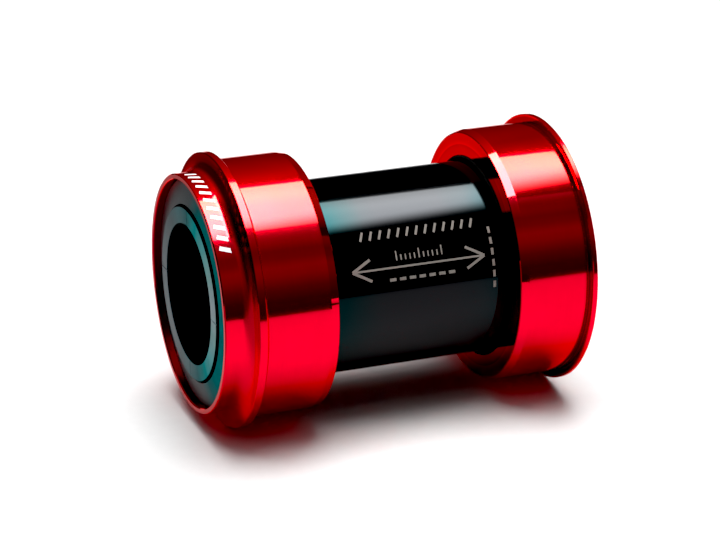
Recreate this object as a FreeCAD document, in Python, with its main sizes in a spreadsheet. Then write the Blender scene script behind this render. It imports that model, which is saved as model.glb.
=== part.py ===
import FreeCAD, Part
import Sketcher
import os
import re

# A press-fit bottom bracket: two cups with a sealed ball bearing each, and a tube that
# telescopes into both.  Millimetres.  +Z is up, +X is forward, and the spindle axis is Y, with
# the left (non-drive) cup at +Y.  The origin is on the axis, midway between the cup flanges.
#
# Every cup is drawn in its own outboard frame: stations grow from the middle of the bicycle
# outwards.  The pieces of a bearing are drawn about the middle of that bearing.  A right-hand
# piece is the same drawing turned half a turn about Z.

LEFT = 1
RIGHT = -1
SIDE_NAMES = {LEFT: "left", RIGHT: "right"}

AXIS_TO_Y = FreeCAD.Placement(FreeCAD.Vector(), FreeCAD.Rotation(FreeCAD.Vector(1, 0, 0), 90))
HALF_TURN = 180

# How close an edge must lie to the place it is looked up by, and the least volume in cubic
# millimetres that a cut must take away.
EDGE_MATCH = 1e-4
CUT_PROOF = 1e-3

DRIVING_SIZES = [
    # Cups
    ("flange_gap", 60.7, "between the inboard faces of the two flanges, pushed together"),
    ("shell_radius", 23.0, "cup body, pressed into a 46 mm frame shell"),
    ("nose_radius", 21.35, "outboard nose of the left cup and rim of the right cup"),
    ("nose_fillet", 2.4, "sweep from the nose up to the left flange"),
    ("rim_fillet", 0.3, "corner between the right rim and its flange"),
    ("left_flange_radius", 24.55, ""),
    ("left_flange_width", 1.5, ""),
    ("left_cup_end", 36.95, "station of the nose's outboard face"),
    ("left_mouth", 16.75, "station of the left cup's inboard face"),
    ("left_lead_drop", 0.28, "how far the lead-in falls below the shell radius"),
    ("right_flange_radius", 24.47, ""),
    ("right_flange_width", 0.9, ""),
    ("right_cup_end", 31.85, ""),
    ("right_mouth", 17.25, ""),
    ("right_lead_drop", 0.45, ""),
    ("lead_length", 1.5, "length of the lead-in on the cup's inboard end"),
    ("land_width", 0.3, "narrow land beside the flange"),
    ("land_drop", 0.12, "how far that land lies below the shell radius"),
    ("groove_width", 0.4, "groove between the land and the cup body"),
    ("groove_depth", 0.3, ""),
    ("groove_slant", 0.1, "slope of each groove wall along the axis"),
    ("edge_bevel", 0.12, "broken edges of the turned parts"),
    ("rim_bevel", 0.2, "broken edges of the outboard rim"),
    ("shoulder_radius", 17.0, "rib between the bearing seat and the sleeve bore"),
    ("shoulder_width", 0.8, ""),
    ("recess_radius", 20.3, "recess that takes the dust shield"),
    # Centre sleeve
    ("sleeve_radius", 17.5, ""),
    ("sleeve_bore_radius", 16.2, ""),
    ("sleeve_clearance", 0.05, "radial sliding clearance in the cups"),
    ("sleeve_end_gap", 0.15, "left between the sleeve and each shoulder when pushed together"),
    ("sleeve_bevel", 0.25, ""),
    # Mouth rings
    ("ring_section_radius", 0.4, "section of the rubber rings at the cup mouths"),
    ("ring_gap", 0.02, "between a rubber ring and the pieces beside it"),
    # Bearings, 25 x 37 x 7
    ("left_bearing_middle", 31.15, "station of the left bearing's middle plane"),
    ("right_bearing_middle", 27.22, "station of the right bearing's middle plane"),
    ("bearing_bore_radius", 12.5, ""),
    ("bearing_radius", 18.5, ""),
    ("bearing_width", 7.0, ""),
    ("inner_land_radius", 14.2, "outside of the inner ring"),
    ("outer_land_radius", 16.8, "inside of the outer ring"),
    ("pitch_radius", 15.5, "circle through the ball centres"),
    ("ball_radius", 1.75, ""),
    ("ball_count", 14, ""),
    ("raceway_radius", 1.79, ""),
    ("ring_bevel", 0.3, "corners of the bearing rings"),
    ("cage_width", 4.8, ""),
    ("cage_inner_radius", 14.75, ""),
    ("cage_outer_radius", 16.25, ""),
    ("pocket_radius", 1.84, "ball pockets of the cage"),
    ("seal_radius", 17.15, "seat of a seal in the outer ring"),
    ("seal_seat_depth", 0.75, ""),
    ("seal_thickness", 0.6, ""),
    ("seal_lip_thickness", 0.3, ""),
    ("seal_lip_radius", 14.9, "where a seal thins down to its lip"),
    ("seal_lip_gap", 0.1, "between the lip and the inner ring"),
    # Dust shield
    ("shield_gap", 0.23, "between the bearing and the shield"),
    ("shield_thickness", 0.6, "at its rim"),
    ("shield_dish", 0.8, "how much further out the shield stands at its bore"),
    ("shield_bore_radius", 15.85, ""),
    ("shield_clearance", 0.05, "radial clearance in the recess"),
    # Spindle bush
    ("spindle_radius", 12.0, "bore for a 24 mm spindle"),
    ("bush_tail", 0.2, "the bush stops short of the bearing's inboard face"),
    ("boss_radius", 15.6, ""),
    ("boss_height", 2.05, "above the bearing's outboard face"),
    ("boss_fillet", 0.15, ""),
    ("boss_foot_radius", 14.1, "foot of the boss that bears on the inner ring"),
    ("boss_relief", 0.3, "the boss is cut back outside its foot"),
    ("bore_bevel", 0.7, "lead-in of the spindle bore"),
    ("face_groove_width", 0.16, "fine radial grooves across the boss"),
    ("face_groove_depth", 0.12, ""),
    ("face_groove_count", 4, ""),
    # Cuts
    ("cut_overrun", 1.0, "how far a cut runs on past the material"),
]


def make_sheet(doc):
    """Put the driving dimensions in a spreadsheet, one aliased cell each."""
    sheet = doc.addObject("Spreadsheet::Sheet", "Sizes")
    for row, (alias, value, note) in enumerate(DRIVING_SIZES, start=1):
        sheet.set(f"A{row}", alias)
        sheet.set(f"B{row}", str(value))
        sheet.set(f"C{row}", note)
        sheet.setAlias(f"B{row}", alias)
    doc.recompute()
    return sheet


def sized(formula):
    """Turn a formula in plain aliases into an expression on the sheet."""
    return re.sub(r"[a-z][a-z_]+", lambda word: "Sizes." + word.group(0), formula)


def measure(doc, formula):
    """The formula's present value in millimetres."""
    value = doc.Sizes.evalExpression(sized(formula))
    return float(getattr(value, "Value", value))


def bind(feature, path, formula):
    feature.setExpression(path, sized(formula))


# ---- sketches and features ---------------------------------------------------------------------

def origin_feature(body, role):
    for feature in body.Origin.OriginFeatures:
        if feature.Role == role:
            return feature
    raise ValueError(role)


def new_sketch(body, name, plane):
    sketch = body.newObject("Sketcher::SketchObject", name)
    sketch.AttachmentSupport = [(origin_feature(body, plane), "")]
    sketch.MapMode = "FlatFace"
    return sketch


def pin_point(sketch, geometry, point, formulas):
    """Hold one sketch point at the given formulas, measured from the sketch's origin."""
    doc = sketch.Document
    for kind, formula in zip(("DistanceX", "DistanceY"), formulas):
        value = measure(doc, formula)
        index = sketch.addConstraint(
            Sketcher.Constraint(kind, -1, 1, geometry, point, value))
        bind(sketch, f"Constraints[{index}]", formula)


def outline_sketch(body, name, plane, corners):
    """A closed outline of straight lines.  Each corner is a pair of formulas."""
    doc = body.Document
    sketch = new_sketch(body, name, plane)
    points = [FreeCAD.Vector(measure(doc, across), measure(doc, up), 0)
              for across, up in corners]
    for here, there in zip(points, points[1:] + points[:1]):
        sketch.addGeometry(Part.LineSegment(here, there))
    count = len(corners)
    for index in range(count):
        sketch.addConstraint(
            Sketcher.Constraint("Coincident", index, 2, (index + 1) % count, 1))
    for index, corner in enumerate(corners):
        pin_point(sketch, index, 1, corner)
    return sketch


def turned_body(doc, label, corners):
    """A body turned about the Y axis.  Each corner of its outline is (radius, station)."""
    body = doc.addObject("PartDesign::Body", label)
    body.Label = label
    sketch = outline_sketch(body, label + "_outline", "XY_Plane", corners)
    turned = body.newObject("PartDesign::Revolution", label + "_turned")
    turned.Profile = sketch
    turned.ReferenceAxis = (sketch, ["V_Axis"])
    turned.Angle = 360
    sketch.Visibility = False
    doc.recompute()
    return body


def rim_edges(body, places):
    """Names of the circular edges at the given (radius, station) formulas."""
    doc = body.Document
    names = []
    for radius, station in places:
        wanted_radius = measure(doc, radius)
        wanted_station = measure(doc, station)
        matches = [
            f"Edge{number}" for number, edge in enumerate(body.Tip.Shape.Edges, start=1)
            if isinstance(edge.Curve, Part.Circle)
            and abs(edge.Curve.Radius - wanted_radius) < EDGE_MATCH
            and abs(edge.Curve.Center.y - wanted_station) < EDGE_MATCH
            and abs(edge.Curve.Axis.y) > 1 - EDGE_MATCH]
        if not matches:
            raise ValueError(f"{body.Label}: no edge at {radius}, {station}")
        names += matches
    return names


def dress_edges(body, kind, name, size, places):
    """Chamfer or fillet the circular edges at the given places."""
    edges = rim_edges(body, places)
    base = body.Tip
    feature = body.newObject("PartDesign::" + kind, name)
    feature.Base = (base, edges)
    bind(feature, "Radius" if kind == "Fillet" else "Size", size)
    body.Tip = feature
    body.Document.recompute()


def circle_pattern(body, name, feature, count):
    """Repeat a feature evenly about the Y axis and make the pattern the body's tip."""
    pattern = body.newObject("PartDesign::PolarPattern", name)
    pattern.Originals = [feature]
    pattern.Axis = (origin_feature(body, "Y_Axis"), [""])
    pattern.Angle = 360
    bind(pattern, "Occurrences", count)
    body.Tip = pattern
    body.Document.recompute()


def cut_pocket(body, name, sketch, depth):
    """Cut a pocket and make sure that it has taken material away."""
    doc = body.Document
    whole = body.Tip.Shape.Volume
    for reverse in (True, False):
        pocket = body.newObject("PartDesign::Pocket", name)
        pocket.Profile = sketch
        bind(pocket, "Length", depth)
        pocket.Reversed = reverse
        doc.recompute()
        if pocket.Shape.Volume < whole - CUT_PROOF:
            sketch.Visibility = False
            return pocket
        body.removeObject(pocket)
        doc.removeObject(pocket.Name)
    raise ValueError(f"{name} cuts nothing")


def cut_round_groove(body, name):
    """Cut the ball raceway, a torus about the Y axis."""
    groove = body.newObject("PartDesign::SubtractiveTorus", name)
    groove.Placement = AXIS_TO_Y
    bind(groove, "Radius1", "pitch_radius")
    bind(groove, "Radius2", "raceway_radius")
    body.Tip = groove
    body.Document.recompute()


def place(piece, side, station):
    """Put a piece at its station and, on the right, turn it half a turn about Z."""
    turn = FreeCAD.Rotation(FreeCAD.Vector(0, 0, 1), 0 if side == LEFT else HALF_TURN)
    piece.Placement = FreeCAD.Placement(FreeCAD.Vector(), turn)
    bind(piece, "Placement.Base.y", f"{side} * ({station})")


# ---- pieces ------------------------------------------------------------------------------------

def make_cup(doc, side):
    """A turned cup: sleeve bore, bearing seat and shield recess inside, flange outside.

    The cup body ends at a fine groove and a narrow land beside the flange.
    """
    name = SIDE_NAMES[side]
    middle = f"{name}_bearing_middle"
    mouth = f"{name}_mouth"
    end = f"{name}_cup_end"
    flange_radius = f"{name}_flange_radius"
    flange_in = "flange_gap / 2"
    flange_out = f"flange_gap / 2 + {name}_flange_width"
    groove_end = "flange_gap / 2 - land_width"
    groove_start = f"{groove_end} - groove_width"
    seat_floor = f"{middle} - bearing_width / 2"
    sleeve_stop = f"{seat_floor} - shoulder_width"
    recess_floor = f"{middle} + bearing_width / 2 + shield_gap"
    ring_seat = "sleeve_radius + 2 * ring_section_radius + 2 * ring_gap"
    ring_floor = f"{mouth} + ring_section_radius + ring_gap"
    sleeve_bore = "sleeve_radius + sleeve_clearance"
    corners = [
        (ring_seat, mouth),
        (ring_seat, ring_floor),
        (sleeve_bore, ring_floor),
        (sleeve_bore, sleeve_stop),
        ("shoulder_radius", sleeve_stop),
        ("shoulder_radius", seat_floor),
        ("bearing_radius", seat_floor),
        ("bearing_radius", recess_floor),
        ("recess_radius", recess_floor),
        ("recess_radius", end),
        ("nose_radius", end),
        ("nose_radius", flange_out),
        (flange_radius, flange_out),
        (flange_radius, flange_in),
        ("shell_radius - land_drop", flange_in),
        ("shell_radius - land_drop", groove_end),
        ("shell_radius - groove_depth", f"{groove_end} - groove_slant"),
        ("shell_radius - groove_depth", f"{groove_start} + groove_slant"),
        ("shell_radius", groove_start),
        ("shell_radius", f"{mouth} + lead_length"),
        (f"shell_radius - {name}_lead_drop", mouth),
    ]
    cup = turned_body(doc, f"{name}_cup", corners)
    sweep = "nose_fillet" if side == LEFT else "rim_fillet"
    dress_edges(cup, "Fillet", f"{name}_sweep", sweep, [("nose_radius", flange_out)])
    dress_edges(cup, "Chamfer", f"{name}_rim_bevels", "rim_bevel",
                [("nose_radius", end), ("recess_radius", end)])
    dress_edges(cup, "Chamfer", f"{name}_edge_bevels", "edge_bevel",
                [(flange_radius, flange_out), (flange_radius, flange_in),
                 (f"shell_radius - {name}_lead_drop", mouth), (ring_seat, mouth)])
    place(cup, side, "0")
    return cup


def make_sleeve(doc):
    """The tube that joins the cups and slides in both."""
    left_end = "left_bearing_middle - bearing_width / 2 - shoulder_width - sleeve_end_gap"
    right_end = "right_bearing_middle - bearing_width / 2 - shoulder_width - sleeve_end_gap"
    stations = [f"-({right_end})", left_end]
    corners = [
        ("sleeve_bore_radius", stations[0]),
        ("sleeve_radius", stations[0]),
        ("sleeve_radius", stations[1]),
        ("sleeve_bore_radius", stations[1]),
    ]
    sleeve = turned_body(doc, "centre_sleeve", corners)
    dress_edges(sleeve, "Chamfer", "sleeve_bevels", "sleeve_bevel", corners)
    place(sleeve, LEFT, "0")
    return sleeve


def make_mouth_ring(doc, side):
    """The rubber ring round the sleeve, half proud of the cup's mouth."""
    name = SIDE_NAMES[side]
    ring = doc.addObject("Part::Torus", f"{name}_mouth_o_ring")
    ring.Label = f"{name}_mouth_o_ring"
    bind(ring, "Radius1", "sleeve_radius + ring_section_radius + ring_gap")
    bind(ring, "Radius2", "ring_section_radius")
    ring.Placement = AXIS_TO_Y
    bind(ring, "Placement.Base.y", f"{side} * {name}_mouth")
    return ring


def make_inner_ring(doc, side):
    """The bearing's inner ring, with a raceway round its outside."""
    half = "bearing_width / 2"
    corners = [
        ("bearing_bore_radius", f"-{half}"),
        ("inner_land_radius", f"-{half}"),
        ("inner_land_radius", half),
        ("bearing_bore_radius", half),
    ]
    name = SIDE_NAMES[side]
    ring = turned_body(doc, f"{name}_bearing_inner_ring", corners)
    dress_edges(ring, "Chamfer", f"{name}_inner_ring_bevels", "ring_bevel",
                [corners[0], corners[3]])
    cut_round_groove(ring, f"{name}_inner_raceway")
    place(ring, side, f"{name}_bearing_middle")
    return ring


def make_outer_ring(doc, side):
    """The bearing's outer ring, with a raceway inside and a seat for each seal."""
    half = "bearing_width / 2"
    seat = f"({half} - seal_seat_depth)"
    corners = [
        ("seal_radius", f"-{half}"),
        ("bearing_radius", f"-{half}"),
        ("bearing_radius", half),
        ("seal_radius", half),
        ("seal_radius", seat),
        ("outer_land_radius", seat),
        ("outer_land_radius", f"-{seat}"),
        ("seal_radius", f"-{seat}"),
    ]
    name = SIDE_NAMES[side]
    ring = turned_body(doc, f"{name}_bearing_outer_ring", corners)
    dress_edges(ring, "Chamfer", f"{name}_outer_ring_bevels", "ring_bevel",
                [corners[1], corners[2]])
    cut_round_groove(ring, f"{name}_outer_raceway")
    place(ring, side, f"{name}_bearing_middle")
    return ring


def make_balls(doc, side):
    """The ring of balls, one solid each."""
    name = SIDE_NAMES[side]
    balls = doc.addObject("PartDesign::Body", f"{name}_bearing_balls")
    balls.Label = f"{name}_bearing_balls"
    ball = balls.newObject("PartDesign::AdditiveSphere", f"{name}_ball")
    bind(ball, "Radius", "ball_radius")
    bind(ball, "Placement.Base.x", "pitch_radius")
    doc.recompute()
    circle_pattern(balls, f"{name}_ball_circle", ball, "ball_count")
    place(balls, side, f"{name}_bearing_middle")
    return balls


def make_cage(doc, side):
    """A one-piece ring with a round pocket for each ball."""
    name = SIDE_NAMES[side]
    corners = [
        ("cage_inner_radius", "-cage_width / 2"),
        ("cage_outer_radius", "-cage_width / 2"),
        ("cage_outer_radius", "cage_width / 2"),
        ("cage_inner_radius", "cage_width / 2"),
    ]
    cage = turned_body(doc, f"{name}_bearing_cage", corners)
    pocket_sketch = new_sketch(cage, f"{name}_pocket_circle", "YZ_Plane")
    pocket_sketch.addGeometry(
        Part.Circle(FreeCAD.Vector(), FreeCAD.Vector(0, 0, 1), measure(doc, "pocket_radius")))
    pocket_sketch.addConstraint(Sketcher.Constraint("Coincident", 0, 3, -1, 1))
    size = pocket_sketch.addConstraint(
        Sketcher.Constraint("Radius", 0, measure(doc, "pocket_radius")))
    bind(pocket_sketch, f"Constraints[{size}]", "pocket_radius")
    pocket = cut_pocket(cage, f"{name}_pocket", pocket_sketch, "cage_outer_radius + cut_overrun")
    circle_pattern(cage, f"{name}_pockets", pocket, "ball_count")
    place(cage, side, f"{name}_bearing_middle")
    return cage


def make_seal(doc, side, facing):
    """A seal in the outer ring, thinned to a lip that stops just clear of the inner ring."""
    name = SIDE_NAMES[side]
    place_name = "outer" if facing > 0 else "inner"
    floor = f"{facing} * (bearing_width / 2 - seal_seat_depth)"
    top = f"{facing} * (bearing_width / 2 - seal_seat_depth + seal_thickness)"
    lip_top = f"{facing} * (bearing_width / 2 - seal_seat_depth + seal_lip_thickness)"
    corners = [
        ("inner_land_radius + seal_lip_gap", floor),
        ("seal_radius", floor),
        ("seal_radius", top),
        ("seal_lip_radius + seal_thickness - seal_lip_thickness", top),
        ("seal_lip_radius", lip_top),
        ("inner_land_radius + seal_lip_gap", lip_top),
    ]
    seal = turned_body(doc, f"{name}_bearing_{place_name}_seal", corners)
    place(seal, side, f"{name}_bearing_middle")
    return seal


def make_dust_shield(doc, side):
    """A ring in the cup's recess, dished outwards to its bore round the boss of the bush."""
    name = SIDE_NAMES[side]
    under = "bearing_width / 2 + shield_gap"
    top = f"{under} + shield_thickness"
    outside = "recess_radius - shield_clearance"
    corners = [
        ("shield_bore_radius", under),
        (outside, under),
        (outside, top),
        ("shield_bore_radius", f"{top} + shield_dish"),
    ]
    shield = turned_body(doc, f"{name}_dust_shield", corners)
    dress_edges(shield, "Chamfer", f"{name}_shield_bevels", "edge_bevel",
                [corners[2], corners[3]])
    place(shield, side, f"{name}_bearing_middle")
    return shield


def make_spindle_bush(doc, side):
    """A top-hat bush: its tube lines the bearing and its boss closes the outboard side."""
    name = SIDE_NAMES[side]
    tail = "bush_tail - bearing_width / 2"
    seat = "bearing_width / 2"
    top = f"{seat} + boss_height"
    corners = [
        ("spindle_radius", tail),
        ("bearing_bore_radius", tail),
        ("bearing_bore_radius", seat),
        ("boss_foot_radius", seat),
        ("boss_foot_radius", f"{seat} + boss_relief"),
        ("boss_radius", f"{seat} + boss_relief"),
        ("boss_radius", top),
        ("spindle_radius", top),
    ]
    bush = turned_body(doc, f"{name}_spindle_bush", corners)
    dress_edges(bush, "Fillet", f"{name}_boss_edge", "boss_fillet", [("boss_radius", top)])
    dress_edges(bush, "Chamfer", f"{name}_bore_lead", "bore_bevel", [("spindle_radius", top)])
    floor = f"{top} - face_groove_depth"
    above = f"{top} + face_groove_depth"
    groove_section = [
        (floor, "-face_groove_width / 2"),
        (above, "-face_groove_width / 2"),
        (above, "face_groove_width / 2"),
        (floor, "face_groove_width / 2"),
    ]
    sketch = outline_sketch(bush, f"{name}_face_groove_section", "YZ_Plane", groove_section)
    groove = cut_pocket(bush, f"{name}_face_groove", sketch, "boss_radius + cut_overrun")
    circle_pattern(bush, f"{name}_face_grooves", groove, "face_groove_count")
    place(bush, side, f"{name}_bearing_middle")
    return bush


# ---- the document ------------------------------------------------------------------------------

def make_pieces(doc):
    """Every piece, the sleeve first and then the two sides."""
    pieces = [make_sleeve(doc)]
    for side in (LEFT, RIGHT):
        pieces.append(make_cup(doc, side))
        pieces.append(make_mouth_ring(doc, side))
        pieces.append(make_outer_ring(doc, side))
        pieces.append(make_inner_ring(doc, side))
        pieces.append(make_balls(doc, side))
        pieces.append(make_cage(doc, side))
        for facing in (1, -1):
            pieces.append(make_seal(doc, side, facing))
        pieces.append(make_dust_shield(doc, side))
        pieces.append(make_spindle_bush(doc, side))
    return pieces


def check_document(doc, pieces):
    """Stop if any object has failed or any piece has no valid solid."""
    for item in doc.Objects:
        if "Invalid" in item.State or "Error" in item.State:
            raise RuntimeError(f"{item.Name} failed: {item.State}")
    for piece in pieces:
        shape = piece.Shape
        if shape.isNull() or not shape.isValid() or not shape.Solids:
            raise RuntimeError(f"{piece.Label} has no valid shape")


def export_pieces(pieces):
    """Write one STEP file per piece and list the pieces."""
    os.makedirs("parts", exist_ok=True)
    for piece in pieces:
        piece.Shape.exportStep(f"parts/{piece.Label}.step")
        box = piece.Shape.BoundBox
        print(f"{piece.Label:32s} solids {len(piece.Shape.Solids):3d}"
              f"  volume {piece.Shape.Volume:10.2f}"
              f"  y {box.YMin:8.3f} to {box.YMax:8.3f}  radius {box.XMax:7.3f}")


document = FreeCAD.newDocument("bottom_bracket")
make_sheet(document)
all_pieces = make_pieces(document)
document.recompute()
check_document(document, all_pieces)
export_pieces(all_pieces)
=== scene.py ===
import math

import bmesh
import bpy
from mathutils import Matrix, Vector


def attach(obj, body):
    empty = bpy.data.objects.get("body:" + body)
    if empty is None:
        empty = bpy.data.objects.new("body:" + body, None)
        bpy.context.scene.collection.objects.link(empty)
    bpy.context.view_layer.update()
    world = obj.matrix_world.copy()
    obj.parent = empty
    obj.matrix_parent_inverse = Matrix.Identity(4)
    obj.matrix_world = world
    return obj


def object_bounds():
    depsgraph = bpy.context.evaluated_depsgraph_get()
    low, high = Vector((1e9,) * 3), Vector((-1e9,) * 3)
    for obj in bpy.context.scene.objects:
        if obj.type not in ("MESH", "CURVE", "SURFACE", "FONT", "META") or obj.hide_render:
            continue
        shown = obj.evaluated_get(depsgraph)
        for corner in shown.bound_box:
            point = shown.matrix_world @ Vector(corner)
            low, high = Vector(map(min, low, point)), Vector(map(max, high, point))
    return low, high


# Looks of the press-fit bottom bracket.  Metres.  +Z is up, Y is the spindle axis with the nose
# cup at +Y, and the origin is on the axis midway between the cup flanges.

MM = 0.001

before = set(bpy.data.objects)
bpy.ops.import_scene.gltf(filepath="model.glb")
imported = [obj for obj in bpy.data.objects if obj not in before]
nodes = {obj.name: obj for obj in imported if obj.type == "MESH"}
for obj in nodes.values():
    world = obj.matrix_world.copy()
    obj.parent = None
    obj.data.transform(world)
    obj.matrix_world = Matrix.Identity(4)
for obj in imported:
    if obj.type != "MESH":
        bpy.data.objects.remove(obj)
cad_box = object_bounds()


def outer_radius(node):
    """The node's largest distance from the spindle axis."""
    return max(math.hypot(v.co.x, v.co.z) for v in nodes[node].data.vertices)


# ---- shader building ---------------------------------------------------------------------------

class NodeTree:
    """The node tree of a material or a light, filled in node by node."""

    def __init__(self, owner):
        owner.use_nodes = True
        self.tree = owner.node_tree
        self.tree.nodes.clear()

    def add(self, kind, settings=None, **sockets):
        """Add a node.  Socket names are written with _ for a space."""
        node = self.tree.nodes.new("ShaderNode" + kind)
        for name, value in (settings or {}).items():
            setattr(node, name, value)
        for name, value in sockets.items():
            self.feed(node, name.replace("_", " "), value)
        return node

    def feed(self, node, socket, value):
        if isinstance(value, bpy.types.NodeSocket):
            self.tree.links.new(value, node.inputs[socket])
        else:
            node.inputs[socket].default_value = value

    def math(self, operation, *values):
        node = self.add("Math", {"operation": operation})
        for index, value in enumerate(values):
            self.feed(node, index, value)
        return node.outputs[0]

    def ramp(self, factor, *stops):
        """A colour ramp.  Each stop is (position, colour)."""
        node = self.add("ValToRGB", Fac=factor)
        elements = node.color_ramp.elements
        while len(elements) < len(stops):
            elements.new(0.5)
        for element, (position, colour) in zip(elements, stops):
            element.position = position
            element.color = (*colour, 1)
        return node.outputs[0]

    def product(self, first, *others):
        for other in others:
            first = self.math("MULTIPLY", first, other)
        return first

    def spread(self, factor, low, high):
        """Map a 0 to 1 value onto low to high."""
        node = self.add("MapRange", Value=factor, To_Min=low, To_Max=high)
        return node.outputs[0]

    def scaled(self, colour, factor):
        node = self.add("VectorMath", {"operation": "SCALE"}, Vector=colour, Scale=factor)
        return node.outputs[0]

    def noise(self, vector, size, detail=2.0, roughness=0.5, distortion=0.0):
        """Noise whose features are about size metres across."""
        node = self.add("TexNoise", Vector=vector, Scale=1 / size, Detail=detail,
                        Roughness=roughness, Distortion=distortion)
        return node.outputs[0]

    def smooth(self, value, start, stop, low=0.0, high=1.0):
        """Ease from low to high while the value goes from start to stop."""
        node = self.add("MapRange", {"interpolation_type": "SMOOTHSTEP"}, Value=value,
                        From_Min=start, From_Max=stop, To_Min=low, To_Max=high)
        return node.outputs[0]


class Shader(NodeTree):
    """A material with one Principled shader."""

    def __init__(self, name, **sockets):
        self.material = bpy.data.materials.new(name)
        super().__init__(self.material)
        self.principled = self.add("BsdfPrincipled", **sockets)
        self.add("OutputMaterial", Surface=self.principled.outputs[0])

    def place(self):
        """Where the point is on the piece."""
        return self.add("TexCoord").outputs["Object"]

    def axes(self):
        """The point's x, y and z on the piece."""
        return self.add("SeparateXYZ", Vector=self.place()).outputs

    def station(self):
        """The point's place along the spindle axis and its distance from that axis."""
        x, y, z = self.axes()
        radius = self.math("SQRT", self.math("ADD", self.product(x, x), self.product(z, z)))
        return y, radius

    def ease(self, value, span):
        """Go from 0 to 1 over a span given in millimetres as (start, stop)."""
        return self.smooth(value, span[0] * MM, span[1] * MM)

    def turned(self, around):
        """Coordinates for marks left by turning about Y: quick across the marks, slow along them.

        around is how far the marks drift, as a share of the way round.
        """
        x, y, z = self.axes()
        drift_x = self.math("MULTIPLY_ADD", x, around, self.station()[1])
        drift_z = self.product(z, around)
        return self.add("CombineXYZ", X=drift_x, Y=y, Z=drift_z).outputs[0]

    def bump(self, height, distance, normal=None):
        node = self.add("Bump", Strength=1.0, Distance=distance, Height=height)
        if normal:
            self.feed(node, "Normal", normal)
        return node.outputs[0]

    def finish(self, **sockets):
        for name, value in sockets.items():
            self.feed(self.principled, name.replace("_", " "), value)
        return self.material


# ---- materials ---------------------------------------------------------------------------------

# The clear seal over the red dye: its index, the most that it may reflect outside the outboard
# rims, and its index on those rims.
SEAL_INDEX = 1.11
SEAL_GLOSS = 0.0045
RIM_INDEX = 1.17

# Places on the cups in millimetres, each as (where it starts, where it is complete).  They are
# stations along the axis, unless the name says radius or height.
LEFT_RIM = (36.86, 36.93)
RIGHT_RIM = (-31.76, -31.83)
# Inside this radius the red is darkened with painted shade.
RECESS_RADIUS = (20.42, 20.36)
LEAD_IN = (18.8, 18.2)
# The sweep from the nose up to the left flange: where it is duller, and where painted shade makes
# it darker towards its top.
FILLET = (31.8, 32.0)
FILLET_RADIUS = (21.38, 21.6)
SWEEP = (31.55, 31.80)
SWEEP_RADIUS = (21.45, 22.1)
SWEEP_HEIGHT = (3.0, 16.0)
# The corner beside the right flange, and the flange's face in it, both darkened with painted shade.
CORNER_INNER = (-29.25, -29.45)
CORNER_OUTER = (-30.50, -30.38)
CORNER_RADIUS = (24.40, 23.85)
FLANGE_FACE = (-30.12, -30.34)
# The right cup's inboard face, whose outer part is darkened with painted shade.
MOUTH_FACE = (-17.45, -17.30)
MOUTH_SIDE = (0.0, -1.0)
MOUTH_RADIUS = (19.4, 21.4)


def painted_cup_shade(s, along, radius):
    """Painted shade: how much red is left in the upper part of the sweep and in the corner by the
    right flange.
    """
    sweep = s.product(s.ease(along, SWEEP), s.ease(radius, SWEEP_RADIUS),
                      s.ease(s.axes()[2], SWEEP_HEIGHT))
    corner = s.product(s.ease(along, CORNER_INNER), s.ease(along, CORNER_OUTER),
                       s.ease(radius, CORNER_RADIUS))
    face = s.product(corner, s.ease(along, FLANGE_FACE))
    return s.product(s.spread(sweep, 1.0, 0.1), s.spread(corner, 1.0, 0.85),
                     s.spread(face, 1.0, 0.36))


def red_anodised():
    """Fine-turned aluminium, dyed red and sealed: a red metal under a thin clear layer."""
    s = Shader("red_anodised_turned", Metallic=1.0, Specular_Tint=(1.0, 0.01, 0.03, 1),
               Coat_Roughness=0.05)
    lines = s.noise(s.turned(0.012), 0.14 * MM, detail=3.0, roughness=0.6)
    streaks = s.noise(s.turned(0.02), 0.55 * MM, detail=3.0, roughness=0.7)
    clouds = s.noise(s.place(), 5 * MM, detail=3.0)
    grain = s.noise(s.place(), 0.12 * MM, detail=2.0)
    along, radius = s.station()
    rim = s.math("MAXIMUM", s.ease(along, LEFT_RIM), s.ease(along, RIGHT_RIM))
    # Painted shade on the upper sweep and by the right flange, in the red and in the seal's gloss.
    shade = painted_cup_shade(s, along, radius)

    dye = s.ramp(s.math("MULTIPLY_ADD", clouds, 0.6, s.product(lines, 0.4)),
                 (0.30, (0.86, 0.0002, 0.024)), (0.70, (0.96, 0.0004, 0.029)))
    mouth = s.product(s.ease(along, MOUTH_FACE), s.ease(along, MOUTH_SIDE),
                      s.ease(radius, MOUTH_RADIUS))
    # Painted shade: a darker red on the sweep, the corner by the right flange, the rim faces, the
    # outer part of the right cup's inboard face and inside the recess radius.
    dim = s.product(shade, s.spread(rim, 1.0, 0.6), s.spread(mouth, 1.0, 0.56),
                    s.spread(s.ease(radius, RECESS_RADIUS), 1.0, 0.55))

    fillet = s.product(s.ease(along, FILLET), s.ease(radius, FILLET_RADIUS))
    lead_in = s.ease(s.math("ABSOLUTE", along), LEAD_IN)
    shine = s.spread(s.math("MULTIPLY_ADD", streaks, 0.5, s.product(lines, 0.5)), 0.06, 0.14)
    shine = s.math("MULTIPLY_ADD", fillet, 0.14, shine)
    shine = s.product(shine, s.spread(lead_in, 1.0, 0.45))
    fine = s.bump(s.math("MULTIPLY_ADD", grain, 0.25, lines), 0.6e-6)
    surface = s.bump(streaks, 2.0e-6, fine)

    # The seal's gloss stays small at every angle, except on the rims, and is cut down where the
    # painted shade falls.
    glance = s.add("Fresnel", IOR=SEAL_INDEX).outputs[0]
    seal = s.math("MINIMUM", s.math("DIVIDE", SEAL_GLOSS, glance), 1.0)
    seal = s.math("MAXIMUM", s.product(seal, shade), rim)
    return s.finish(Base_Color=s.scaled(dye, dim), Roughness=shine, Normal=surface,
                    Coat_Normal=surface, Coat_Weight=seal,
                    Coat_IOR=s.spread(rim, SEAL_INDEX, RIM_INDEX))


# Where the span of the sleeve's painted blue-green reflection tint starts and ends along the axis,
# in millimetres.
PAINTED_TINT_SPAN = (-16, 19)


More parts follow.
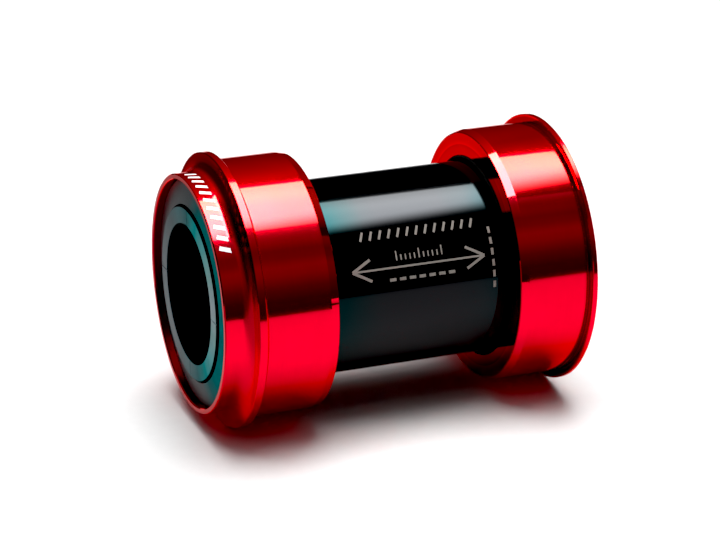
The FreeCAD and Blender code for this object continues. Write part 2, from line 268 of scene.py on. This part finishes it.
def black_anodised():
    """Dyed black aluminium tube with a deep gloss.  Its gloss is painted blue-green towards both
    ends, a painted reflection tint.
    """
    s = Shader("black_anodised_gloss", Metallic=0.0, IOR=1.29)
    lines = s.noise(s.turned(0.01), 0.2 * MM, detail=2.0)
    clouds = s.noise(s.place(), 6 * MM, detail=3.0)
    pits = s.noise(s.place(), 0.25 * MM, detail=2.0)
    dye = s.ramp(clouds, (0.30, (0.0003, 0.0004, 0.0005)), (0.75, (0.0008, 0.0010, 0.0012)))
    drift = s.math("MULTIPLY_ADD", clouds, 2 * MM, s.axes()[1])
    along = s.add("MapRange", Value=drift, From_Min=PAINTED_TINT_SPAN[0] * MM,
                  From_Max=PAINTED_TINT_SPAN[1] * MM).outputs[0]
    # Painted reflection: the gloss is tinted blue-green towards both ends of the sleeve.
    painted_reflection_tint = s.ramp(along, (0.00, (0.28, 0.70, 0.80)), (0.08, (0.52, 0.84, 0.95)),
                  (0.15, (0.76, 0.90, 1.00)), (0.30, (0.90, 0.90, 1.00)),
                  (0.63, (0.90, 0.90, 1.00)), (0.71, (0.82, 0.91, 1.00)),
                  (0.77, (0.62, 0.92, 1.00)), (0.86, (0.33, 0.92, 1.00)),
                  (0.90, (0.20, 0.90, 1.00)), (1.00, (0.10, 0.85, 0.95)))
    shine = s.spread(s.math("MULTIPLY_ADD", lines, 0.5, s.product(pits, 0.5)), 0.06, 0.13)
    return s.finish(Base_Color=dye, Specular_Tint=painted_reflection_tint, Roughness=shine,
                    Normal=s.bump(lines, 0.12e-6))


# Across the faces of the shields and bushes, in x and z: the way their painted light runs round
# them.
PAINTED_LIGHT_RUN = (-0.985, 0.174)
# Painted light and painted reflection by side: colours and gloss levels from the side facing +X
# round to the opposite side, which is painted lighter and blue-green with almost no gloss.
SHIELD_PAINTED_LIGHT = [(0.00, (0.4, 0.6, 0.7)), (0.58, (0.6, 0.9, 1.0)), (0.70, (0.0, 2.4, 2.5)),
                (0.80, (0.0, 3.4, 3.5)), (1.00, (0.0, 3.4, 3.5))]
SHIELD_PAINTED_GLOSS = [(0.00, 0.30), (0.58, 0.34), (0.70, 0.04), (0.80, 0.002), (1.00, 0.002)]
BUSH_PAINTED_LIGHT = [(0.00, (0.4, 1.1, 1.5)), (0.25, (0.2, 0.9, 1.1)), (0.41, (0.0, 1.7, 2.0)),
              (0.585, (0.0, 2.0, 2.2)), (0.75, (0.0, 5.6, 5.6)), (0.885, (0.5, 6.0, 6.3)),
              (0.97, (1.1, 5.4, 5.2)), (1.00, (3.1, 5.0, 5.7))]
BUSH_PAINTED_GLOSS = [(0.00, 0.45), (0.25, 0.18), (0.41, 0.15), (0.585, 0.03), (0.75, 0.002),
                (0.885, 0.08), (0.97, 0.40), (1.00, 0.50)]
# The radii in millimetres within and beyond which a shield or bush is painted black as shade, in
# its bore and at its edges.
SHIELD_SHADE_EDGES = (15.86, 20.25)
BUSH_SHADE_EDGES = (12.62, 15.50)
PAINTED_SHADE_BLACK = (0.0006, 0.0006, 0.0006, 1)


def turned_plastic(name, line_size, line_height, roughness, painted_tints, painted_glosses, shaded_edges):
    """Satin engineering plastic with rings left by turning and a fine grain.

    The colour and gloss stops are painted light and painted reflection by side, from the side that
    faces +X (0) round to the opposite side (1), and near the edge radii the plastic is painted
    black as shade.
    """
    s = Shader(name, IOR=1.35)
    lines = s.noise(s.turned(0.006), line_size, detail=2.0)
    grain = s.noise(s.place(), 0.09 * MM, detail=3.0, roughness=0.7)
    clouds = s.noise(s.place(), 3 * MM, detail=2.0)
    mottle = s.math("MULTIPLY_ADD", grain, 0.5, s.product(clouds, 0.5))
    axes = s.axes()
    radius = s.station()[1]
    # Painted light: which side of the face the point is on sets its colour and gloss.
    painted_light_side = s.math("MULTIPLY_ADD", axes[2], PAINTED_LIGHT_RUN[1], s.product(axes[0], PAINTED_LIGHT_RUN[0]))
    painted_light_side = s.math("MULTIPLY_ADD", clouds, 0.06, s.math("DIVIDE", painted_light_side, radius))
    turn = s.add("MapRange", Value=painted_light_side, From_Min=-1.0, From_Max=1.03).outputs[0]
    colour = s.scaled(s.ramp(turn, *painted_tints), s.spread(mottle, 0.020, 0.064))
    low, high = shaded_edges
    # Painted shade: black within the inner edge radius and beyond the outer one, with the gloss cut
    # there too.
    dark = s.math("MAXIMUM", s.ease(radius, (low + 0.06, low)), s.ease(radius, (high - 0.08, high)))
    colour = s.add("MixRGB", Fac=dark, Color1=colour, Color2=PAINTED_SHADE_BLACK).outputs[0]
    level = s.ramp(turn, *[(stop, (gloss,) * 3) for stop, gloss in painted_glosses])
    level = s.product(level, s.spread(dark, 1.0, 0.02))
    height = s.math("MULTIPLY_ADD", grain, 0.5, lines)
    return s.finish(Base_Color=colour, Specular_IOR_Level=level,
                    Roughness=s.spread(grain, roughness - 0.05, roughness + 0.08),
                    Normal=s.bump(height, line_height))


def ground_steel():
    """Ground and honed bearing steel, with fine scratches round the axis."""
    s = Shader("bearing_steel_ground", Metallic=1.0)
    lines = s.noise(s.turned(0.008), 0.08 * MM, detail=3.0)
    clouds = s.noise(s.place(), 2 * MM, detail=2.0)
    tint = s.ramp(clouds, (0.3, (0.50, 0.50, 0.51)), (0.7, (0.62, 0.61, 0.60)))
    return s.finish(Base_Color=tint, Roughness=s.spread(lines, 0.16, 0.3),
                    Normal=s.bump(lines, 0.5e-6))


def ball_ceramic():
    """Polished silicon nitride, almost black, with a faint mottle."""
    s = Shader("ball_silicon_nitride", IOR=2.0)
    mottle = s.noise(s.place(), 0.4 * MM, detail=4.0)
    return s.finish(Base_Color=s.ramp(mottle, (0.35, (0.018, 0.018, 0.02)),
                                      (0.7, (0.05, 0.05, 0.053))),
                    Roughness=s.spread(mottle, 0.04, 0.09))


def cage_polymer():
    """Glass-filled nylon, tan, with short fibres near the surface."""
    s = Shader("cage_nylon", IOR=1.5)
    fibres = s.noise(s.place(), 0.18 * MM, detail=5.0, roughness=0.75, distortion=1.5)
    return s.finish(Base_Color=s.ramp(fibres, (0.3, (0.42, 0.34, 0.2)), (0.7, (0.62, 0.54, 0.36))),
                    Roughness=s.spread(fibres, 0.4, 0.6), Normal=s.bump(fibres, 4e-6))


def rubber(name, dark, light, roughness, index=1.5):
    """Moulded nitrile rubber with a fine matt grain."""
    s = Shader(name, IOR=index)
    grain = s.noise(s.place(), 0.07 * MM, detail=4.0, roughness=0.7)
    bloom = s.noise(s.place(), 1.2 * MM, detail=3.0)
    tone = s.math("MULTIPLY_ADD", grain, 0.4, s.product(bloom, 0.6))
    return s.finish(Base_Color=s.ramp(tone, (0.3, dark), (0.7, light)),
                    Roughness=s.spread(grain, roughness - 0.08, roughness + 0.1),
                    Normal=s.bump(grain, 2.5e-6))


def laser_mark():
    """Aluminium laid bare by a laser: pale, matt, and hatched by the beam's passes."""
    s = Shader("laser_mark_bare_metal", IOR=1.45)
    passes = s.add("TexWave", {"wave_type": "BANDS", "bands_direction": "Y"},
                   Vector=s.place(), Scale=1 / (0.25 * MM), Distortion=2.0, Detail=2.0,
                   Detail_Scale=2.0).outputs["Fac"]
    grain = s.noise(s.place(), 0.1 * MM, detail=3.0)
    tone = s.math("MULTIPLY_ADD", passes, 0.35, s.product(grain, 0.65))
    return s.finish(Base_Color=s.ramp(tone, (0.2, (0.13, 0.112, 0.097)),
                                      (0.8, (0.28, 0.26, 0.24))),
                    Roughness=s.spread(grain, 0.4, 0.6), Normal=s.bump(tone, 2e-6))


def white_ink():
    """Screen-printed white ink, slightly grainy at its surface."""
    s = Shader("nose_print_white", IOR=1.45)
    grain = s.noise(s.place(), 0.12 * MM, detail=3.0)
    return s.finish(Base_Color=s.ramp(grain, (0.3, (0.78, 0.81, 0.83)), (0.7, (0.9, 0.92, 0.93))),
                    Roughness=s.spread(grain, 0.35, 0.55), Normal=s.bump(grain, 1.5e-6))


# How far from the part, in metres, a board starts to glow and glows in full, and how strongly.
GLOW_SPAN = (0.20, 0.80)
GLOW = 0.9
# Where along the axis, in millimetres, a board changes to its second tone.
TONE_CHANGE = (45, 80)


def pale_board(name, tone, tone_past_end):
    """Matt studio board with a barely visible tooth, in a second tone past the nose cup's end.

    Far from the part, where the lights don't reach, it glows faintly instead.
    """
    s = Shader(name, IOR=1.4, Specular_IOR_Level=0.0, Emission_Color=(1.0, 1.0, 1.0, 1))
    tooth = s.noise(s.place(), 2 * MM, detail=4.0)
    distance = s.add("VectorMath", {"operation": "LENGTH"}, Vector=s.place()).outputs["Value"]
    base = s.spread(s.ease(s.axes()[1], TONE_CHANGE), tone, tone_past_end)
    grey = s.math("MULTIPLY_ADD", tooth, 0.04, s.math("SUBTRACT", base, 0.02))
    return s.finish(Base_Color=s.add("CombineColor", Red=grey, Green=grey, Blue=grey).outputs[0],
                    Roughness=s.spread(tooth, 0.75, 0.9),
                    Emission_Strength=s.smooth(distance, *GLOW_SPAN, 0.0, GLOW))


def dress_nodes():
    """Give every CAD node its material."""
    steel = ground_steel()
    seal = rubber("seal_rubber_black", (0.010, 0.010, 0.011), (0.026, 0.026, 0.028), 0.6)
    kinds = {
        "cup": red_anodised(),
        "mouth_o_ring": rubber("o_ring_rubber_black", (0.002, 0.002, 0.002),
                               (0.005, 0.005, 0.005), 0.85, 1.06),
        "bearing_outer_ring": steel,
        "bearing_inner_ring": steel,
        "bearing_balls": ball_ceramic(),
        "bearing_cage": cage_polymer(),
        "bearing_outer_seal": seal,
        "bearing_inner_seal": seal,
        "dust_shield": turned_plastic("shield_acetal", 0.22 * MM, 1.2e-6, 0.38, SHIELD_PAINTED_LIGHT,
                                      SHIELD_PAINTED_GLOSS, SHIELD_SHADE_EDGES),
        "spindle_bush": turned_plastic("bush_acetal", 0.16 * MM, 1.0e-6, 0.33, BUSH_PAINTED_LIGHT,
                                       BUSH_PAINTED_GLOSS, BUSH_SHADE_EDGES),
        "sleeve": black_anodised(),
    }
    for name, node in nodes.items():
        kind = name.split("_", 1)[1]
        for material_slot in node.material_slots:
            material_slot.material = kinds[kind]


# ---- marks -------------------------------------------------------------------------------------

class WrappedMarks:
    """Thin closed strokes wrapped round a turned surface.

    A stroke's ends are (along, around) in millimetres: along is the place on the Y axis, and
    around is the arc from the top of the part, positive towards +X.
    """

    STAND_PROUD = 0.012 * MM
    SINK = 0.02 * MM
    STEP = 0.35

    def __init__(self, radius):
        self.mesh = bmesh.new()
        self.radius = radius

    def point(self, along, around, lift):
        angle = around * MM / self.radius
        reach = self.radius + lift
        return Vector((reach * math.sin(angle), along * MM, reach * math.cos(angle)))

    def stroke(self, start, end, width):
        start, end = Vector(start), Vector(end)
        run = end - start
        side = Vector((-run.y, run.x)).normalized() * width / 2
        count = max(1, math.ceil(run.length / self.STEP))
        rings = []
        for index in range(count + 1):
            middle = start + run * index / count
            corners = [(middle + side, self.STAND_PROUD), (middle - side, self.STAND_PROUD),
                       (middle - side, -self.SINK), (middle + side, -self.SINK)]
            rings.append([self.mesh.verts.new(self.point(*place, lift))
                          for place, lift in corners])
        for here, there in zip(rings, rings[1:]):
            for corner in range(4):
                after = (corner + 1) % 4
                self.mesh.faces.new((here[corner], here[after], there[after], there[corner]))
        self.mesh.faces.new(reversed(rings[0]))
        self.mesh.faces.new(rings[-1])

    def build(self, name, body, material):
        bmesh.ops.recalc_face_normals(self.mesh, faces=self.mesh.faces)
        data = bpy.data.meshes.new(name)
        self.mesh.to_mesh(data)
        self.mesh.free()
        data.materials.append(material)
        piece = bpy.data.objects.new(name, data)
        bpy.context.scene.collection.objects.link(piece)
        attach(piece, body)
        return piece


def arc(radius, degrees):
    """Arc length in millimetres on a turned surface of this radius in metres."""
    return math.radians(degrees) * radius / MM


def sleeve_marks():
    """A double-headed arrow with a scale, and plain bars, lasered into the sleeve.

    Angles are in degrees from the top of the part, and other sizes are in millimetres.
    """
    radius = outer_radius("centre_sleeve")
    ink = laser_mark()

    arrow = WrappedMarks(radius)
    line = arc(radius, -68.8)
    left_tip, right_tip = 12.0, -12.8
    head_length, head_half_width = 3.45, 1.9
    arrow.stroke((left_tip, line), (right_tip, line), 0.36)
    for tip, inward in ((left_tip, -1), (right_tip, 1)):
        for side in (-1, 1):
            barb = (tip + inward * head_length, line + side * head_half_width)
            arrow.stroke((tip, line), barb, 0.5)
    arrow.build("width_arrow", "sleeve_unit", ink)

    scale = WrappedMarks(radius)
    foot = arc(radius, -65.0)
    first_tick, tick_pitch = 3.6, 0.85
    for index in range(11):
        tall = 1.7 if index % 5 == 0 else 1.0
        along = first_tick - tick_pitch * index
        scale.stroke((along, foot), (along, foot + tall), 0.26)
    scale.build("width_scale", "sleeve_unit", ink)

    bars = WrappedMarks(radius)
    middle = arc(radius, -75.7)
    first_bar, bar_pitch, bar_length = 5.3, 1.85, 1.2
    for index in range(7):
        along = first_bar - bar_pitch * index
        bars.stroke((along, middle), (along - bar_length, middle), 0.55)
    bars.build("width_bars", "sleeve_unit", ink)

    hatch = WrappedMarks(radius)
    low, high = arc(radius, -51.6), arc(radius, -46.2)
    first_line, line_pitch, line_slant = 9.6, 1.72, 0.7
    for index in range(13):
        along = first_line - line_pitch * index
        hatch.stroke((along, low), (along - line_slant, high), 0.42)
    hatch.build("sleeve_hatch", "sleeve_unit", ink)

    end_band = WrappedMarks(radius)
    band_station, dash_pitch, dash_length = -14.4, 1.95, 1.2
    for index in range(6):
        around = arc(radius, -52.5) - dash_pitch * index
        end_band.stroke((band_station, around), (band_station, around - dash_length), 0.5)
    end_band.build("sleeve_end_band", "sleeve_unit", ink)


NOSE_RADIUS = 21.35 * MM


def nose_marks():
    """A row of plain slanted bars printed on the nose, sized in millimetres."""
    bars = WrappedMarks(NOSE_RADIUS)
    outer_end, inner_end, slant, pitch = 36.0, 33.95, 0.7, 2.1
    for index in range(11):
        around = arc(NOSE_RADIUS, 7.5) - pitch * index
        bars.stroke((outer_end, around), (inner_end, around - slant), 0.8)
    bars.build("nose_bars", "left_cup_unit", white_ink())


# ---- stage -------------------------------------------------------------------------------------

CAMERA_AZIMUTH = math.radians(248.85)
CAMERA_ELEVATION = math.radians(20.9)
CAMERA_DISTANCE = 479.80 * MM
CAMERA_RIGHT = -4.045 * MM
CAMERA_UP = -0.495 * MM
FOCAL_LENGTH = 132.94
SENSOR_WIDTH = 36.0


def make_camera():
    right = Vector((math.cos(CAMERA_AZIMUTH), math.sin(CAMERA_AZIMUTH), 0))
    level = Vector((-math.sin(CAMERA_AZIMUTH), math.cos(CAMERA_AZIMUTH), 0))
    tilt = CAMERA_ELEVATION
    forward = level * math.cos(tilt) - Vector((0, 0, math.sin(tilt)))
    up = level * math.sin(tilt) + Vector((0, 0, math.cos(tilt)))
    data = bpy.data.cameras.new("camera")
    data.sensor_fit = "HORIZONTAL"
    data.sensor_width = SENSOR_WIDTH
    data.lens = FOCAL_LENGTH
    data.clip_start = 0.01
    camera = bpy.data.objects.new("camera", data)
    place = right * CAMERA_RIGHT + up * CAMERA_UP - forward * CAMERA_DISTANCE
    turn = Matrix((right, up, -forward)).transposed()
    camera.matrix_world = Matrix.Translation(place) @ turn.to_4x4()
    bpy.context.scene.collection.objects.link(camera)
    bpy.context.scene.camera = camera


def flat_piece(name, outline, height, material):
    """A flat stage piece with the given outline of (x, y) in metres, facing up."""
    mesh = bpy.data.meshes.new(name)
    mesh.from_pydata([(x, y, height) for x, y in outline], [], [range(len(outline))])
    mesh.materials.append(material)
    piece = bpy.data.objects.new(name, mesh)
    bpy.context.scene.collection.objects.link(piece)
    return piece


def only_for(piece, *kinds):
    """Let a stage piece be met only by the given kinds of light path."""
    for kind in ("camera", "diffuse", "glossy", "transmission", "shadow", "volume_scatter"):
        setattr(piece, "visible_" + kind, kind in kinds)


def rectangle(x_from, x_to, y_from, y_to):
    return [(x_from, y_from), (x_to, y_from), (x_to, y_to), (x_from, y_to)]


FLOOR_REACH = 2.0
FLOOR_TONE = 0.8
TABLE_LIFT = 0.05 * MM
TABLE_TONE = 0.62
TABLE_TONE_PAST_END = 0.28
TABLE_OUTLINE = [(-0.215, 0.50), (-0.215, -0.155), (-0.90, -0.60), (-0.90, -0.90),
                 (0.45, -0.90), (0.45, 0.50)]


def make_floor():
    """A wide pale board.  What the gloss mirrors of it is the table top near the part."""
    height = cad_box[0].z
    floor = flat_piece("floor", rectangle(-FLOOR_REACH, FLOOR_REACH, -FLOOR_REACH, FLOOR_REACH),
                       height, pale_board("studio_floor", FLOOR_TONE, FLOOR_TONE))
    floor.visible_glossy = False
    table = flat_piece("table_top", TABLE_OUTLINE, height + TABLE_LIFT,
                       pale_board("studio_table", TABLE_TONE, TABLE_TONE_PAST_END))
    only_for(table, "glossy")


BACKDROP_RADIUS = 1.95
BACKDROP_HEIGHT = 1.6
BACKDROP_SIDES = 96


def make_backdrop():
    """A round pale wall far behind the part, there for the camera only."""
    sides = BACKDROP_SIDES
    turns = [math.tau * index / sides for index in range(sides)]
    places = [(BACKDROP_RADIUS * math.cos(turn), BACKDROP_RADIUS * math.sin(turn), z)
              for z in (cad_box[0].z, BACKDROP_HEIGHT) for turn in turns]
    faces = [(index, (index + 1) % sides, sides + (index + 1) % sides, sides + index)
             for index in range(sides)]
    mesh = bpy.data.meshes.new("backdrop")
    mesh.from_pydata(places, [], faces)
    mesh.materials.append(pale_board("studio_wall", FLOOR_TONE, FLOOR_TONE))
    wall = bpy.data.objects.new("backdrop", mesh)
    bpy.context.scene.collection.objects.link(wall)
    only_for(wall, "camera")


def light_only(light, pieces):
    """Let a light reach only the given nodes."""
    receivers = bpy.data.collections.new(light.name + "_pieces")
    for name in pieces:
        receivers.objects.link(nodes[name])
    light.light_linking.receiver_collection = receivers


def area_light(name, place, size, radiance, target, colour=(1, 1, 1)):
    """A rectangular light of the given size and radiance, turned to face its target."""
    data = bpy.data.lights.new(name, "AREA")
    data.shape = "RECTANGLE"
    data.size, data.size_y = size
    data.energy = radiance * math.pi * size[0] * size[1]
    data.color = colour
    light = bpy.data.objects.new(name, data)
    turn = (Vector(target) - Vector(place)).to_track_quat("-Z", "Y").to_matrix().to_4x4()
    light.matrix_world = Matrix.Translation(place) @ turn
    bpy.context.scene.collection.objects.link(light)
    return light


# The softboxes, in metres.  A span is (start, stop), and a share is of the full strength.
SOFTBOX_X = (-0.122, 0.150)
SOFTBOX_SKIRT = -0.260
SOFTBOX_HEIGHT = 0.300
DIM_SPAN, DIM_SHARE = (-0.09, 0.0), 0.62
CORNER_LEAN, CORNER_STOP = 0.75, -0.100
END_SPAN = (-0.168, -0.165)
FAR_LEAN, FAR_SPAN = -0.14, (0.147, 0.143)
SKIRT_SPAN, SKIRT_SHARE = (-0.320, -0.120), 0.006
TINT_SPAN = (0.130, 0.030)


def position(tree):
    """The x, y and z of a point on a light."""
    return tree.add("SeparateXYZ", Vector=tree.add("NewGeometry").outputs["Position"]).outputs


def make_softbox(name, radiance, colour, far_colour, corner_start, y_end, pieces):
    """An overhead softbox that shows only in the gloss of the given nodes.

    It is brightest at the nose cup's end and fades out over the corner nearest the camera.  Its
    far edge has its own colour and runs slightly askew, and a dim skirt hangs on at the end away
    from the nose cup.
    """
    low, high = Vector((SOFTBOX_X[0], SOFTBOX_SKIRT)), Vector((SOFTBOX_X[1], y_end))
    middle, size = (low + high) / 2, high - low
    light = area_light(name, (*middle, SOFTBOX_HEIGHT), size, radiance, (*middle, 0.0))
    tree = NodeTree(light.data)
    x, y = position(tree)[:2]
    along = tree.smooth(y, *DIM_SPAN, DIM_SHARE, 1.0)
    askew = tree.math("MULTIPLY_ADD", y, CORNER_LEAN, x)
    corner = tree.smooth(askew, corner_start, CORNER_STOP)
    end = tree.smooth(y, *END_SPAN)
    far = tree.smooth(tree.math("MULTIPLY_ADD", y, FAR_LEAN, x), *FAR_SPAN)
    skirt = tree.smooth(askew, *SKIRT_SPAN, 0.0, SKIRT_SHARE)
    strength = tree.product(tree.math("MAXIMUM", tree.product(along, corner, end), skirt), far)
    blend = tree.ramp(tree.smooth(x, *TINT_SPAN), (0.0, far_colour), (1.0, colour))
    glow = tree.add("Emission", Color=blend, Strength=strength)
    tree.add("OutputLight", Surface=glow.outputs[0])
    only_for(light, "glossy")
    light_only(light, pieces)


def make_card(name, x_place, top, y_span, colour, profile, ends, pieces):
    """A dim card standing on the floor beside the part, seen only in the gloss of the given nodes.

    profile is its brightness from bottom to top, as (share of the height, radiance).  ends scales
    it at the far end from the nose cup and at the near end.
    """
    middle = Vector((x_place, sum(y_span) / 2, top / 2))
    width = y_span[1] - y_span[0]
    light = area_light(name, middle, (width, top), 1.0, (0.0, middle.y, middle.z), colour)
    tree = NodeTree(light.data)
    y, z = position(tree)[1:]
    height = tree.add("MapRange", Value=z, From_Min=0.0, From_Max=top).outputs[0]
    shade = tree.ramp(height, *[(place, (level,) * 3) for place, level in profile])
    glow = tree.add("Emission", Color=shade, Strength=tree.smooth(y, *CARD_SPAN, *ends))
    tree.add("OutputLight", Surface=glow.outputs[0])
    only_for(light, "glossy")
    light_only(light, pieces)


# Where the cards' strength changes along the axis, in metres, and their brightness by height.
CARD_SPAN = (-0.38, -0.27)
BACK_PROFILE = [(0.083, 0.14), (0.200, 0.19), (0.308, 0.24), (0.450, 0.32), (0.642, 0.44),
                (0.833, 0.52), (1.000, 0.75)]
FRONT_PROFILE = [(0.037, 0.01), (0.118, 0.06), (0.207, 0.17), (0.273, 0.20), (0.354, 0.12),
                 (0.457, 0.10), (0.568, 0.18), (0.738, 0.24), (0.850, 0.37), (1.000, 0.68)]
WORLD_COLOUR = (0.02, 0.02, 0.021, 1)


def make_lights():
    """Two softboxes overhead and two cards for the gloss, and a key and a fill for the rest."""
    cups = [name for name in nodes if name.endswith("_cup")]
    rest = [name for name in nodes if name not in cups]
    make_softbox("softbox", 34.0, (0.96, 1.0, 0.98), (0.60, 0.62, 0.61), corner_start=-0.195,
                 y_end=0.150, pieces=rest)
    make_softbox("cup_softbox", 225.0, (0.23, 1.0, 0.125), (0.23, 0.90, 0.125),
                 corner_start=-0.212, y_end=0.045, pieces=cups)
    key = area_light("key", (0.02, -0.02, 0.45), (0.36, 0.45), 8.5, target=(0, 0, 0))
    key.visible_glossy = False
    fill = area_light("fill", (0.0, 0.0, 1.5), (2.4, 2.4), 0.55, target=(0, 0, 0))
    fill.visible_glossy = False
    make_card("back_card", 0.6, 1.2, y_span=(-1.4, 1.0), colour=(1.0, 0.3, 0.3),
              profile=BACK_PROFILE, ends=(0.70, 1.15), pieces=cups)
    make_card("front_card", -0.42, 1.03, y_span=(-0.65, 1.20), colour=(1.0, 1.0, 1.0),
              profile=FRONT_PROFILE, ends=(0.58, 1.0), pieces=cups)
    world = bpy.data.worlds.new("studio")
    world.use_nodes = True
    world.node_tree.nodes["Background"].inputs["Color"].default_value = WORLD_COLOUR
    bpy.context.scene.world = world


BLACK_LEVEL = 0.006


def grade_view():
    """Crush the deepest blacks a little."""
    view = bpy.context.scene.view_settings
    view.view_transform = "Standard"
    view.use_curve_mapping = True
    view.curve_mapping.black_level = (BLACK_LEVEL, BLACK_LEVEL, BLACK_LEVEL)
    view.curve_mapping.update()


dress_nodes()
sleeve_marks()
nose_marks()
make_floor()
make_backdrop()
make_lights()
make_camera()
grade_view()
